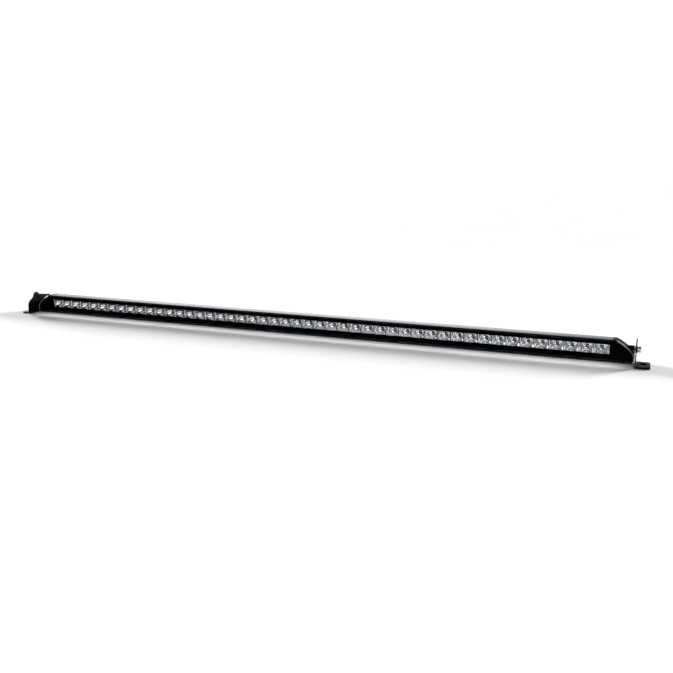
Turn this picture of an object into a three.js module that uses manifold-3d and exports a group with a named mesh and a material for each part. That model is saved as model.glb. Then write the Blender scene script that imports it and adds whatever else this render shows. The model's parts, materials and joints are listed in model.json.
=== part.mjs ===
// A slim LED light bar for a truck or trailer: one row of small reflectors behind a
// full-width lens, held at both ends by a bent bracket that the bar tilts in.
//
// Millimetres, +Z up. X runs along the bar, the light shines towards -Y, and Z = 0 is
// the surface that the two feet are bolted to.

import * as THREE from 'three';
import { mergeVertices } from 'three/addons/utils/BufferGeometryUtils.js';
import Module from 'manifold-3d';

const wasm = await Module();
wasm.setup();

// ---------------------------------------------------------------- driving dimensions

const CELL_PITCH = 25;
const CELLS_PER_MODULE = 12;
const MODULE_COUNT = 4;
const BAR_LENGTH = 1282;
const BAR_HEIGHT = 39;
const BODY_DEPTH = 26; // front face to the flat rear wall
const BAR_DEPTH = 37; // front face to the tips of the cooling fins
const SHOULDER_X = 611; // where the flat top ends and the curved shoulder begins
const SEAM_X = 604; // end of the extruded housing

const FACE_Y = -6; // the front face's plane, from the part's origin
const BAR_Z = 1; // the bar's lower edge, above the mounting surface

const PIVOT_DEPTH = 14; // tilt axis behind the front face
const PIVOT_HEIGHT = 23; // tilt axis above the bar's lower edge

const PLATE_X = 641.7; // inner face of a bracket's upright plate
const PLATE_THICKNESS = 2;
const PLATE_FRONT = -29; // from the front face's plane, as the next three are
const PLATE_REAR = 41;
const FOOT_FRONT = -26;
const FOOT_REAR = 16;
const FOOT_END_X = 666.5;
const PAD_THICKNESS = 1;

// ---------------------------------------------------------------- worked out from them

const END_X = BAR_LENGTH / 2;
const MODULE_LENGTH = CELL_PITCH * CELLS_PER_MODULE;
const ROW_LENGTH = MODULE_LENGTH * MODULE_COUNT;
const FOOT_TOP = PAD_THICKNESS + PLATE_THICKNESS;
const PLATE_OUTER_X = PLATE_X + PLATE_THICKNESS;
const GAP = 0.3; // left between pieces that fit into one another

// Depths behind the front face of what is stacked inside the bar.
const RIM = 1.6; // metal left round the lens
const CORNER_RADIUS = 6;
const EDGE_CHAMFER = 1.3;
const LENS_FRONT = 0.3;
const LENS_REAR = 3.3;
const RECESS_DEPTH = 4;
const LEDGE = 3.6; // inset of the inner walls
const BEZEL_FRONT = 4.2;
const BEZEL_REAR = 5.4;
const REFLECTOR_FRONT = 5.7;
const REFLECTOR_REAR = 18.4;
const BOARD_FRONT = 18.8;
const BOARD_REAR = 20.4;
const PAD_REAR = 21.0;
const CAVITY_DEPTH = 21.2;

// Heights above the bar's lower edge.
const ROW_Z = 21.5; // middle of the reflector row
const ROW_HEIGHT = 17.8;
const CELL_OPENING = [24, 16.6];
const CELL_THROAT = [9, 9];
const BOARD_LOW = 7;
const BOARD_HIGH = 32;
const BOARD_SCREW_Z = 9.5;
const BOARD_SCREW_X = 125; // either side of a board's middle

// Rear of the extrusion: cooling fins between the screw ports for the end caps.
const FIN_HEIGHTS = [13.5, 17.5, 21.5, 25.5];
const FIN_HALF = 0.8;
const PORT_DEPTH = 29.5;
const PORT_REAR = 33;
const PORT_HEIGHTS = [6.5, 32.5];
const PORT_HALF = 3;
const PORT_HOLE_RADIUS = 1.9;
const PORT_HOLE_LENGTH = 14;
const LUG_THICKNESS = 4.2;
const LUG_HOLE_RADIUS = 2.2;

// The end gasket is a C-shaped frame on the line of the wall.
const GASKET_SPAN = [SEAM_X + 0.15, SEAM_X + 1.1];
const GASKET_DEPTHS = [5, 24.6];
const GASKET_INSET = 1.2; // from the bar's upper and lower faces
const GASKET_LEG = 1.4;
const GASKET_BACK = 2;

// Cable gland and vent, one in each end cap's rear wall.
const FITTING_X = 621;
const FITTING_Z = 13;
const FITTING_HOLE_RADIUS = 4.9;
const FITTING_THREAD_RADIUS = 4.6;
const GLAND_BORE_RADIUS = 3.5;
const GLAND_HEX_RADIUS = 7;

// Tilt hardware, outwards along X.
const BOSS_RADIUS = 6.5;
const BOSS_INNER_X = 617.5;
const BOSS_OUTER_X = 639.3;
const BUSH_SPAN = [639.6, 641.4];
const WASHER_SPAN = [PLATE_OUTER_X + 0.1, PLATE_OUTER_X + 1.3];
const WASHER_RADIUS = 6;
const LOCK_WASHER_SPAN = [WASHER_SPAN[1] + 0.1, WASHER_SPAN[1] + 1.6];
const LOCK_WASHER_RADIUS = 5;
const BOLT_RADIUS = 3;
const BOLT_HOLE_RADIUS = 3.3;
const BOLT_HEAD_RADIUS = 5.7; // over the corners of the hexagon
const BOLT_HEAD_SPAN = [LOCK_WASHER_SPAN[1] + 0.1, LOCK_WASHER_SPAN[1] + 4];
const BOLT_TIP_X = 611;
const NUT_SPAN = [612, 617.2];
const NUT_RADIUS = 5.7;
const NUT_BORE_RADIUS = 3.15;

const DRIVER_START_X = -585;
const DRIVER_LENGTH = 360;
const DRIVER_DEPTHS = [6.2, 16.4];
const DRIVER_TOP = 5.8; // upper face of the driver's circuit board
const LEAD_RISE = 1.6; // the two cores of the lead run one above the other

// ---------------------------------------------------------------- materials

function finish(color, roughness, metalness) {
  return new THREE.MeshStandardMaterial({ color, roughness, metalness });
}

const MATERIALS = {
  blackCoat: finish(0x16171a, 0.42, 0.3),
  clearLens: finish(0xe8eef2, 0.05, 0.0),
  blackPlastic: finish(0x08080a, 0.3, 0.0),
  mirror: finish(0xd5d8dc, 0.12, 1.0),
  circuitBoard: finish(0xf0f0ec, 0.5, 0.0),
  greenBoard: finish(0x1d4a2c, 0.5, 0.0),
  thermalPad: finish(0x9a9aa6, 0.9, 0.0),
  rubber: finish(0x101010, 0.85, 0.0),
  bracketCoat: finish(0x1b1c1f, 0.5, 0.4),
  stainless: finish(0xb9bcc0, 0.28, 1.0),
  nylon: finish(0x131315, 0.6, 0.0),
  redWire: finish(0x9c1712, 0.5, 0.0),
  blackWire: finish(0x0d0d0d, 0.5, 0.0),
};

// ---------------------------------------------------------------- solid-making helpers

/** Keep only position and share the vertices, so that a solid is closed. */
function welded(geometry) {
  geometry.deleteAttribute('normal');
  geometry.deleteAttribute('uv');
  return mergeVertices(geometry, 1e-4);
}

function toSolid(geometry) {
  const closed = welded(geometry);
  const vertProperties = new Float32Array(closed.attributes.position.array);
  const triVerts = new Uint32Array(closed.index.array);
  return new wasm.Manifold(new wasm.Mesh({ numProp: 3, vertProperties, triVerts }));
}

function toGeometry(solid) {
  const mesh = solid.getMesh();
  const geometry = new THREE.BufferGeometry();
  geometry.setAttribute('position', new THREE.BufferAttribute(mesh.vertProperties, 3));
  geometry.setIndex(new THREE.BufferAttribute(mesh.triVerts, 1));
  return geometry;
}

function subtractAll(solid, cutters) {
  return cutters.reduce((rest, cutter) => rest.subtract(cutter), solid);
}

function addAll(solids) {
  return solids.reduce((whole, solid) => whole.add(solid));
}

/** The same geometry on the other side of X = 0, still facing outwards. */
function mirroredX(geometry) {
  const copy = geometry.clone();
  copy.scale(-1, 1, 1);
  const index = copy.index.array;
  for (let i = 0; i < index.length; i += 3) {
    [index[i], index[i + 1]] = [index[i + 1], index[i]];
  }
  return copy;
}

function box(x, y, z) {
  const geometry = new THREE.BoxGeometry(x[1] - x[0], y[1] - y[0], z[1] - z[0]);
  return geometry.translate((x[0] + x[1]) / 2, (y[0] + y[1]) / 2, (z[0] + z[1]) / 2);
}

function extruded(shape, depth, curveSegments) {
  return new THREE.ExtrudeGeometry(shape, { depth, bevelEnabled: false, curveSegments });
}

/** A shape drawn in Y and Z, extruded along X. */
function extrudedAlongX(shape, [x0, x1], curveSegments = 6) {
  const geometry = extruded(shape, x1 - x0, curveSegments);
  const basis = new THREE.Matrix4().makeBasis(
    new THREE.Vector3(0, 1, 0),
    new THREE.Vector3(0, 0, 1),
    new THREE.Vector3(1, 0, 0),
  );
  return geometry.applyMatrix4(basis).translate(x0, 0, 0);
}

/** A shape drawn in X and Z, extruded along Y. */
function extrudedAlongY(shape, [y0, y1], curveSegments = 6) {
  return extruded(shape, y1 - y0, curveSegments).rotateX(Math.PI / 2).translate(0, y1, 0);
}

/** A shape drawn in X and Y, extruded along Z. */
function extrudedAlongZ(shape, [z0, z1], curveSegments = 6) {
  return extruded(shape, z1 - z0, curveSegments).translate(0, 0, z0);
}

function cylinderAlongX(radius, [x0, x1], y, z, sides = 16) {
  const geometry = new THREE.CylinderGeometry(radius, radius, x1 - x0, sides);
  return geometry.rotateZ(-Math.PI / 2).translate((x0 + x1) / 2, y, z);
}

function cylinderAlongY(radius, [y0, y1], x, z, sides = 16) {
  const geometry = new THREE.CylinderGeometry(radius, radius, y1 - y0, sides);
  return geometry.translate(x, (y0 + y1) / 2, z);
}

/** A turned piece on an axis along X, from [x, radius] pairs. */
function turnedAlongX(profile, y, z, sides = 16) {
  const points = profile.map(([x, radius]) => new THREE.Vector2(radius, x));
  return new THREE.LatheGeometry(points, sides).rotateZ(-Math.PI / 2).translate(0, y, z);
}

function ringAlongX(inner, outer, [x0, x1], y, z) {
  return turnedAlongX([[x0, inner], [x0, outer], [x1, outer], [x1, inner], [x0, inner]], y, z);
}

/** A box whose far end, along +Y, is narrower than its near end. */
function taperedBox([w0, h0], [w1, h1], [y0, y1]) {
  const geometry = new THREE.BoxGeometry(1, 1, 1);
  const corners = geometry.attributes.position;
  for (let i = 0; i < corners.count; i += 1) {
    const isFar = corners.getY(i) > 0;
    const x = corners.getX(i) * (isFar ? w1 : w0);
    const z = corners.getZ(i) * (isFar ? h1 : h0);
    corners.setXYZ(i, x, isFar ? y1 : y0, z);
  }
  return geometry;
}

function roundedRectangle([x0, x1], [y0, y1], radius) {
  const shape = new THREE.Shape();
  shape.moveTo(x0 + radius, y0);
  shape.lineTo(x1 - radius, y0);
  shape.absarc(x1 - radius, y0 + radius, radius, -Math.PI / 2, 0, false);
  shape.lineTo(x1, y1 - radius);
  shape.absarc(x1 - radius, y1 - radius, radius, 0, Math.PI / 2, false);
  shape.lineTo(x0 + radius, y1);
  shape.absarc(x0 + radius, y1 - radius, radius, Math.PI / 2, Math.PI, false);
  shape.lineTo(x0, y0 + radius);
  shape.absarc(x0 + radius, y0 + radius, radius, Math.PI, 1.5 * Math.PI, false);
  return shape;
}

// ---------------------------------------------------------------- the bar's own outline

/** The face seen from the front, drawn at a chosen distance inside its edge. */
function faceOutline(inset = 0) {
  const endX = END_X - inset;
  const low = inset;
  const top = BAR_HEIGHT - inset;
  const radius = CORNER_RADIUS - inset;
  const shoulder = SHOULDER_X - 0.24 * inset;
  const side = CORNER_RADIUS + 3; // where the straight side turns into the shoulder
  const lowHandleZ = side + 10.5 - 0.35 * inset;
  const highHandleX = SHOULDER_X + 16 - 0.45 * inset;
  const highHandleZ = top - 8.1 + 0.11 * inset;
  const shape = new THREE.Shape();
  shape.moveTo(radius - endX, low);
  shape.lineTo(endX - radius, low);
  shape.absarc(endX - radius, low + radius, radius, -Math.PI / 2, 0, false);
  shape.lineTo(endX, side);
  shape.bezierCurveTo(endX, lowHandleZ, highHandleX, highHandleZ, shoulder, top);
  shape.lineTo(-shoulder, top);
  shape.bezierCurveTo(-highHandleX, highHandleZ, -endX, lowHandleZ, -endX, side);
  shape.lineTo(-endX, low + radius);
  shape.absarc(radius - endX, low + radius, radius, Math.PI, 1.5 * Math.PI, false);
  return shape;
}

/** The whole body before it is divided into housing and end caps, hollowed from the front. */
function hollowBody() {
  const geometry = new THREE.ExtrudeGeometry(faceOutline(), {
    depth: BODY_DEPTH,
    bevelEnabled: true,
    bevelThickness: EDGE_CHAMFER,
    bevelSize: EDGE_CHAMFER,
    bevelOffset: -EDGE_CHAMFER,
    bevelSegments: 1,
    curveSegments: 6,
  });
  geometry.rotateX(Math.PI / 2).translate(0, BODY_DEPTH + EDGE_CHAMFER, 0);
  const trim = box([-END_X, END_X], [0, BODY_DEPTH], [0, BAR_HEIGHT]);
  const recess = extrudedAlongY(faceOutline(RIM), [-1, RECESS_DEPTH]);
  const cavity = extrudedAlongY(faceOutline(LEDGE), [RECESS_DEPTH - 1, CAVITY_DEPTH]);
  const blank = toSolid(geometry).intersect(toSolid(trim));
  return subtractAll(blank, [toSolid(recess), toSolid(cavity)]);
}

// ---------------------------------------------------------------- housing and end caps

/** Rear of the extrusion: two screw ports with thin cooling fins between them. */
function heatSink() {
  const ribs = [
    { z: PORT_HEIGHTS[0], half: PORT_HALF, rear: PORT_REAR },
    ...FIN_HEIGHTS.map((z) => ({ z, half: FIN_HALF, rear: BAR_DEPTH })),
    { z: PORT_HEIGHTS[1], half: PORT_HALF, rear: PORT_REAR },
  ];
  const root = BODY_DEPTH - 0.5;
  const shape = new THREE.Shape();
  shape.moveTo(root, ribs[0].z - PORT_HALF);
  for (const { z, half, rear } of ribs) {
    shape.lineTo(BODY_DEPTH, z - half);
    shape.lineTo(rear, z - half);
    shape.lineTo(rear, z + half);
    shape.lineTo(BODY_DEPTH, z + half);
  }
  shape.lineTo(root, ribs[ribs.length - 1].z + PORT_HALF);
  return toSolid(extrudedAlongX(shape, [-SEAM_X, SEAM_X]));
}

function moduleCentres() {
  const first = -ROW_LENGTH / 2 + MODULE_LENGTH / 2;
  return Array.from({ length: MODULE_COUNT }, (_, i) => first + i * MODULE_LENGTH);
}

function housing(body) {
  const span = box([-SEAM_X, SEAM_X], [0, BODY_DEPTH], [0, BAR_HEIGHT]);
  const portHoles = [-1, 1].flatMap((side) => PORT_HEIGHTS.map((z) => {
    const ends = [side * SEAM_X, side * (SEAM_X - PORT_HOLE_LENGTH)].sort((a, b) => a - b);
    return toSolid(cylinderAlongX(PORT_HOLE_RADIUS, ends, PORT_DEPTH, z, 10));
  }));
  const boardHoles = moduleCentres().flatMap((x) => [-1, 1].map((side) => toSolid(
    cylinderAlongY(1.5, [CAVITY_DEPTH - 0.5, 24.8], x + side * BOARD_SCREW_X, BOARD_SCREW_Z, 8),
  )));
  const extrusion = body.intersect(toSolid(span)).add(heatSink());
  return toGeometry(subtractAll(extrusion, [...portHoles, ...boardHoles]));
}

/** The gasket's frame, open towards the lens, or with a clearance the groove it lies in. */
function wallFrame(clearance, spanX) {
  const [front, rear] = GASKET_DEPTHS;
  const outerLow = GASKET_INSET - clearance;
  const innerLow = GASKET_INSET + GASKET_LEG + clearance;
  const outer = box(
    spanX,
    [front - clearance, rear + clearance],
    [outerLow, BAR_HEIGHT - outerLow],
  );
  const inner = box(
    [spanX[0] - 1, spanX[1] + 1],
    [0, rear - GASKET_BACK - clearance],
    [innerLow, BAR_HEIGHT - innerLow],
  );
  return toSolid(outer).subtract(toSolid(inner));
}

function endGasket() {
  return toGeometry(wallFrame(0, GASKET_SPAN));
}

/** The right-hand end cap, with its hardware boss, screw lugs and fitting hole. */
function endCap(body) {
  const start = SEAM_X + GAP;
  const span = box([start, END_X], [0, BODY_DEPTH], [0, BAR_HEIGHT]);
  const boss = cylinderAlongX(BOSS_RADIUS, [BOSS_INNER_X, BOSS_OUTER_X], PIVOT_DEPTH, PIVOT_HEIGHT, 20);
  const lugs = PORT_HEIGHTS.map((z) => toSolid(box(
    [start, start + LUG_THICKNESS],
    [BODY_DEPTH - 1, PORT_REAR],
    [z - PORT_HALF, z + PORT_HALF],
  )));
  const cutters = [
    cylinderAlongX(BOLT_HOLE_RADIUS, [BOSS_INNER_X - 1, BOSS_OUTER_X + 1], PIVOT_DEPTH, PIVOT_HEIGHT),
    cylinderAlongY(FITTING_HOLE_RADIUS, [CAVITY_DEPTH - 1, BODY_DEPTH + 1], FITTING_X, FITTING_Z),
    ...PORT_HEIGHTS.map((z) => (
      cylinderAlongX(LUG_HOLE_RADIUS, [start - 1, start + LUG_THICKNESS + 1], PORT_DEPTH, z, 12)
    )),
  ].map(toSolid);
  const groove = wallFrame(GAP, [start - 1, GASKET_SPAN[1] + GAP]);
  const shell = body.intersect(toSolid(span));
  const cap = subtractAll(addAll([shell, toSolid(boss), ...lugs]), [...cutters, groove]);
  return toGeometry(cap);
}

function endCapScrew() {
  const head = SEAM_X + GAP + LUG_THICKNESS + 0.1;
  return turnedAlongX([
    [head - 15, 0],
    [head - 14.5, 1.7],
    [head, 1.7],
    [head, 3.2],
    [head + 1.8, 2.8],
    [head + 2.4, 0],
  ], PORT_DEPTH, 0, 12);
}

// ---------------------------------------------------------------- lens, seal and bezel

function frontLens() {
  return extrudedAlongY(faceOutline(RIM + 0.2), [LENS_FRONT, LENS_REAR]);
}

function lensSeal() {
  const outer = extrudedAlongY(faceOutline(RIM + GAP), [LENS_REAR + 0.1, RECESS_DEPTH - 0.1], 4);
  const inner = extrudedAlongY(faceOutline(LEDGE - 0.2), [LENS_REAR - 1, RECESS_DEPTH + 1], 4);
  return toGeometry(toSolid(outer).subtract(toSolid(inner)));
}

function frontBezel() {
  const panel = extrudedAlongY(faceOutline(LEDGE + GAP), [BEZEL_FRONT, BEZEL_REAR], 4);
  const halfLength = ROW_LENGTH / 2 + 0.6;
  const halfHeight = ROW_HEIGHT / 2 - GAP;
  const opening = roundedRectangle(
    [-halfLength, halfLength],
    [ROW_Z - halfHeight, ROW_Z + halfHeight],
    1,
  );
  const windowCut = extrudedAlongY(opening, [BEZEL_FRONT - 1, BEZEL_REAR + 1], 2);
  return toGeometry(toSolid(panel).subtract(toSolid(windowCut)));
}

// ---------------------------------------------------------------- light engine

function cellOffsets() {
  const first = -MODULE_LENGTH / 2 + CELL_PITCH / 2;
  return Array.from({ length: CELLS_PER_MODULE }, (_, i) => first + i * CELL_PITCH);
}

/** Twelve tapered reflector cells in one moulding, centred on the row's middle. */
function reflectorModule() {
  const half = MODULE_LENGTH / 2 - 0.2;
  const depths = [REFLECTOR_FRONT, REFLECTOR_REAR];
  const block = box([-half, half], depths, [-ROW_HEIGHT / 2, ROW_HEIGHT / 2]);
  const cells = cellOffsets().map((x) => toSolid(
    taperedBox(CELL_OPENING, CELL_THROAT, depths).translate(x, 0, 0),
  ));
  return toGeometry(subtractAll(toSolid(block), cells));
}

function boardScrewHoles(radius, depths) {
  return [-1, 1].map((side) => toSolid(
    cylinderAlongY(radius, depths, side * BOARD_SCREW_X, BOARD_SCREW_Z - ROW_Z, 8),
  ));
}

/** A circuit board with one light-emitting chip behind each cell. */
function ledBoard() {
  const half = MODULE_LENGTH / 2 - 0.5;
  const heights = [BOARD_LOW - ROW_Z, BOARD_HIGH - ROW_Z];
  const board = toSolid(box([-half, half], [BOARD_FRONT, BOARD_REAR], heights));
  const chips = cellOffsets().map((x) => toSolid(
    box([x - 2, x + 2], [BOARD_FRONT - 1, BOARD_FRONT + 0.1], [-2, 2]),
  ));
  const holes = boardScrewHoles(1.7, [BOARD_FRONT - 1, BOARD_REAR + 1]);
  return toGeometry(subtractAll(addAll([board, ...chips]), holes));
}

function thermalPad() {
  const half = MODULE_LENGTH / 2 - 1;
  const heights = [BOARD_LOW + 0.5 - ROW_Z, BOARD_HIGH - 0.5 - ROW_Z];
  const pad = toSolid(box([-half, half], [BOARD_REAR + 0.1, PAD_REAR], heights));
  return toGeometry(subtractAll(pad, boardScrewHoles(1.7, [BOARD_REAR - 1, PAD_REAR + 1])));
}

function boardScrew() {
  const seat = BOARD_FRONT - 0.1;
  const points = [
    [0, seat + 5.8],
    [1.2, seat + 5.4],
    [1.2, seat],
    [2.4, seat],
    [2, seat - 1.4],
    [0, seat - 1.4],
  ].map(([radius, y]) => new THREE.Vector2(radius, -y));
  return new THREE.LatheGeometry(points, 10).rotateX(Math.PI);
}

/** The current driver: a board on the floor of the bar, with its coils and capacitors. */
function driverBoard() {
  const end = DRIVER_START_X + DRIVER_LENGTH;
  const floor = DRIVER_TOP - 1.6;
  const board = box([DRIVER_START_X, end], DRIVER_DEPTHS, [floor, DRIVER_TOP]);
  const terminals = box(
    [DRIVER_START_X, DRIVER_START_X + 8],
    [7, 15.6],
    [DRIVER_TOP - 0.5, DRIVER_TOP + 5],
  );
  const parts = [terminals];
  for (let x = DRIVER_START_X + 40; x < end; x += 70) {
    parts.push(box([x - 6, x + 6], [7.5, 15], [DRIVER_TOP - 0.5, DRIVER_TOP + 5]));
    parts.push(box([x + 18, x + 26], [8, 14], [DRIVER_TOP - 0.5, DRIVER_TOP + 2]));
  }
  return toGeometry(addAll([board, ...parts].map(toSolid)));
}

function driverPad() {
  const end = DRIVER_START_X + DRIVER_LENGTH;
  return box([DRIVER_START_X + 2, end - 2], [7, 15.6], [LEDGE + 0.05, DRIVER_TOP - 1.65]);
}

/** One core of the inner lead, from the gland's bore to the driver's terminal block. */
function innerLead(rise) {
  const start = -FITTING_X;
  const route = new THREE.CatmullRomCurve3([
    new THREE.Vector3(start, 23.6, FITTING_Z + rise),
    new THREE.Vector3(start, 18.5, FITTING_Z + rise),
    new THREE.Vector3(start + 5, 13, FITTING_Z - 3 + rise),
    new THREE.Vector3(start + 18, 11.3, 8.4 + rise),
    new THREE.Vector3(DRIVER_START_X - 8, 11.3, 7.3 + rise),
    new THREE.Vector3(DRIVER_START_X - 0.4, 11.3, 7.2 + rise),
  ]);
  const section = new THREE.Shape().absarc(0, 0, 1.2, 0, 2 * Math.PI, false);
  return new THREE.ExtrudeGeometry(section, { steps: 18, extrudePath: route, curveSegments: 4 });
}

// ---------------------------------------------------------------- cable gland and vent

function turnedAlongY(profile, sides = 16) {
  const points = profile.map(([y, radius]) => new THREE.Vector2(radius, y));
  return new THREE.LatheGeometry(points, sides);
}

function hexAlongY(radius, [y0, y1]) {
  const geometry = new THREE.CylinderGeometry(radius, radius, y1 - y0, 6);
  return geometry.translate(0, (y0 + y1) / 2, 0);
}

function glandBody() {
  const ends = [20.6, 30.6];
  const thread = cylinderAlongY(FITTING_THREAD_RADIUS, ends, 0, 0);
  const collar = hexAlongY(GLAND_HEX_RADIUS, [BODY_DEPTH + 0.1, 29]);
  const bore = cylinderAlongY(GLAND_BORE_RADIUS, [ends[0] - 1, ends[1] + 1], 0, 0);
  return toGeometry(toSolid(thread).add(toSolid(collar)).subtract(toSolid(bore)));
}

function glandNut() {
  const flats = hexAlongY(GLAND_HEX_RADIUS, [29.2, 33.2]);
  const dome = turnedAlongY([[33, 0], [33, 6], [35.4, 5.4], [36.8, 4.2], [36.8, 0]]);
  const bores = [
    cylinderAlongY(FITTING_HOLE_RADIUS, [29, 30.9], 0, 0),
    cylinderAlongY(GLAND_BORE_RADIUS, [30, 37], 0, 0),
  ].map(toSolid);
  return toGeometry(subtractAll(toSolid(flats).add(toSolid(dome)), bores));
}

/** The rubber insert in the gland, with one hole for each core of the cable. */
function glandSeal() {
  const plug = toSolid(cylinderAlongY(3.2, [24, 36.4], 0, 0));
  const holes = [-LEAD_RISE, LEAD_RISE].map((z) => toSolid(cylinderAlongY(1.3, [23, 37], 0, z, 10)));
  return toGeometry(subtractAll(plug, holes));
}

function ventBody() {
  const thread = cylinderAlongY(FITTING_THREAD_RADIUS, [21.6, 26.3], 0, 0);
  const collar = hexAlongY(6.6, [BODY_DEPTH + 0.1, 28.6]);
  const cap = turnedAlongY([[28.5, 0], [28.5, 6], [31.2, 5.6], [31.8, 5], [31.8, 0]]);
  const bores = [
    cylinderAlongY(1.5, [21, 32], 0, 0, 10),
    cylinderAlongY(3, [30.4, 32], 0, 0, 12),
  ].map(toSolid);
  return toGeometry(subtractAll(addAll([thread, collar, cap].map(toSolid)), bores));
}

function ventMembrane() {
  return cylinderAlongY(2.7, [30.6, 31], 0, 0, 12);
}

// ---------------------------------------------------------------- brackets and tilt hardware

/** The bracket's upright plate from the side: Y from the front face, Z from the ground. */
function plateOutline() {
  const ear = { y: -2.5, z: 38.5, radius: 8 };
  const neck = { y: -10, z: 41.2 };
  const lobeTop = 15;
  const ledge = { y: 10, z: 40.1 };
  const rearTop = 36;
  const rearCorner = 4.5;
  const rearLow = 24;
  const shape = new THREE.Shape();
  shape.moveTo(FOOT_FRONT, PAD_THICKNESS);
  shape.quadraticCurveTo(PLATE_FRONT, 3, PLATE_FRONT, 8);
  shape.lineTo(PLATE_FRONT, lobeTop);
  shape.bezierCurveTo(PLATE_FRONT, 24, -25, 29.5, -18, 32.5);
  shape.bezierCurveTo(-14, 34.3, -12, 37, neck.y, neck.z);
  shape.absarc(ear.y, ear.z, ear.radius, 0.888 * Math.PI, 0.112 * Math.PI, true);
  shape.quadraticCurveTo(6, ledge.z + 0.4, ledge.y, ledge.z);
  shape.lineTo(PLATE_REAR - rearCorner, rearTop);
  shape.quadraticCurveTo(PLATE_REAR, rearTop - 0.6, PLATE_REAR, rearTop - rearCorner);
  shape.lineTo(PLATE_REAR, rearLow);
  shape.quadraticCurveTo(PLATE_REAR - 1, 8, FOOT_REAR + 6, 6);
  shape.quadraticCurveTo(FOOT_REAR, 5, FOOT_REAR, PAD_THICKNESS);
  return shape;
}

function footOutline(startX) {
  const radius = 5;
  const shape = new THREE.Shape();
  shape.moveTo(startX, FOOT_FRONT);
  shape.lineTo(FOOT_END_X - radius, FOOT_FRONT);
  shape.absarc(FOOT_END_X - radius, FOOT_FRONT + radius, radius, -Math.PI / 2, 0, false);
  shape.lineTo(FOOT_END_X, FOOT_REAR - radius);
  shape.absarc(FOOT_END_X - radius, FOOT_REAR - radius, radius, 0, Math.PI / 2, false);
  shape.lineTo(startX, FOOT_REAR);
  return shape;
}

/** The mounting slot through the foot and its pad, for an M8 bolt. */
function footSlot(height) {
  const middleX = (PLATE_OUTER_X + FOOT_END_X) / 2;
  const middleY = (FOOT_FRONT + FOOT_REAR) / 2;
  const halfWidth = 4.25;
  const halfLength = 7.5;
  const slot = roundedRectangle(
    [middleX - halfWidth, middleX + halfWidth],
    [middleY - halfLength, middleY + halfLength],
    halfWidth - 0.05,
  );
  return toSolid(extrudedAlongZ(slot, height, 3));
}

function bracket() {
  const plate = toSolid(extrudedAlongX(plateOutline(), [PLATE_X, PLATE_OUTER_X], 5));
  const foot = toSolid(extrudedAlongZ(footOutline(PLATE_X + 1), [PAD_THICKNESS, FOOT_TOP], 3));
  const boltHole = toSolid(cylinderAlongX(
    BOLT_HOLE_RADIUS + 0.1,
    [PLATE_X - 1, PLATE_OUTER_X + 1],
    PIVOT_DEPTH,
    PIVOT_HEIGHT + BAR_Z,
  ));
  return toGeometry(subtractAll(plate.add(foot), [boltHole, footSlot([0, FOOT_TOP + 1])]));
}

function footPad() {
  const pad = toSolid(extrudedAlongZ(footOutline(PLATE_X), [0, PAD_THICKNESS], 3));
  return toGeometry(pad.subtract(footSlot([-1, PAD_THICKNESS + 1])));
}

/** A hexagon-head bolt, from its tip inside the end cap to its head outside the bracket. */
function pivotBolt() {
  const seat = BOLT_HEAD_SPAN[0];
  const shank = turnedAlongX([
    [BOLT_TIP_X, 0],
    [BOLT_TIP_X + 0.6, BOLT_RADIUS],
    [seat + 1, BOLT_RADIUS],
    [seat + 1, 0],
  ], PIVOT_DEPTH, PIVOT_HEIGHT);
  const head = cylinderAlongX(BOLT_HEAD_RADIUS, BOLT_HEAD_SPAN, PIVOT_DEPTH, PIVOT_HEIGHT, 6);
  return toGeometry(toSolid(shank).add(toSolid(head)));
}

function pivotNut() {
  const body = cylinderAlongX(NUT_RADIUS, NUT_SPAN, PIVOT_DEPTH, PIVOT_HEIGHT, 6);
  const boreSpan = [NUT_SPAN[0] - 1, NUT_SPAN[1] + 1];
  const bore = cylinderAlongX(NUT_BORE_RADIUS, boreSpan, PIVOT_DEPTH, PIVOT_HEIGHT);
  return toGeometry(toSolid(body).subtract(toSolid(bore)));
}

function pivotBush() {
  return ringAlongX(BOLT_HOLE_RADIUS, BOSS_RADIUS, BUSH_SPAN, PIVOT_DEPTH, PIVOT_HEIGHT);
}

function pivotWasher() {
  return ringAlongX(BOLT_HOLE_RADIUS, WASHER_RADIUS, WASHER_SPAN, PIVOT_DEPTH, PIVOT_HEIGHT);
}

function lockWasher() {
  return ringAlongX(
    BOLT_HOLE_RADIUS,
    LOCK_WASHER_RADIUS,
    LOCK_WASHER_SPAN,
    PIVOT_DEPTH,
    PIVOT_HEIGHT,
  );
}

// ---------------------------------------------------------------- assembly

const lightBar = new THREE.Group();
const bar = new THREE.Group();
const brackets = new THREE.Group();
bar.position.set(0, FACE_Y, BAR_Z);
brackets.position.set(0, FACE_Y, 0);
lightBar.add(bar, brackets);

function place(group, name, geometry, material, position = [0, 0, 0]) {
  const mesh = new THREE.Mesh(geometry, material);
  mesh.name = name;
  mesh.position.set(...position);
  group.add(mesh);
}

/** A right-hand piece and its mirror image at the other end. */
function placePair(group, name, geometry, material) {
  const closed = welded(geometry);
  place(group, `${name}_right`, closed, material);
  place(group, `${name}_left`, mirroredX(closed), material);
}

const body = hollowBody();
place(bar, 'housing', housing(body), MATERIALS.blackCoat);
placePair(bar, 'end_cap', endCap(body), MATERIALS.blackCoat);
placePair(bar, 'end_gasket', endGasket(), MATERIALS.rubber);
PORT_HEIGHTS.forEach((z, i) => {
  const level = ['lower', 'upper'][i];
  const screw = endCapScrew().translate(0, 0, z);
  placePair(bar, `end_cap_screw_${level}`, screw, MATERIALS.stainless);
});

place(bar, 'front_lens', frontLens(), MATERIALS.clearLens);
place(bar, 'lens_seal', lensSeal(), MATERIALS.rubber);
place(bar, 'front_bezel', frontBezel(), MATERIALS.blackPlastic);

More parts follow.
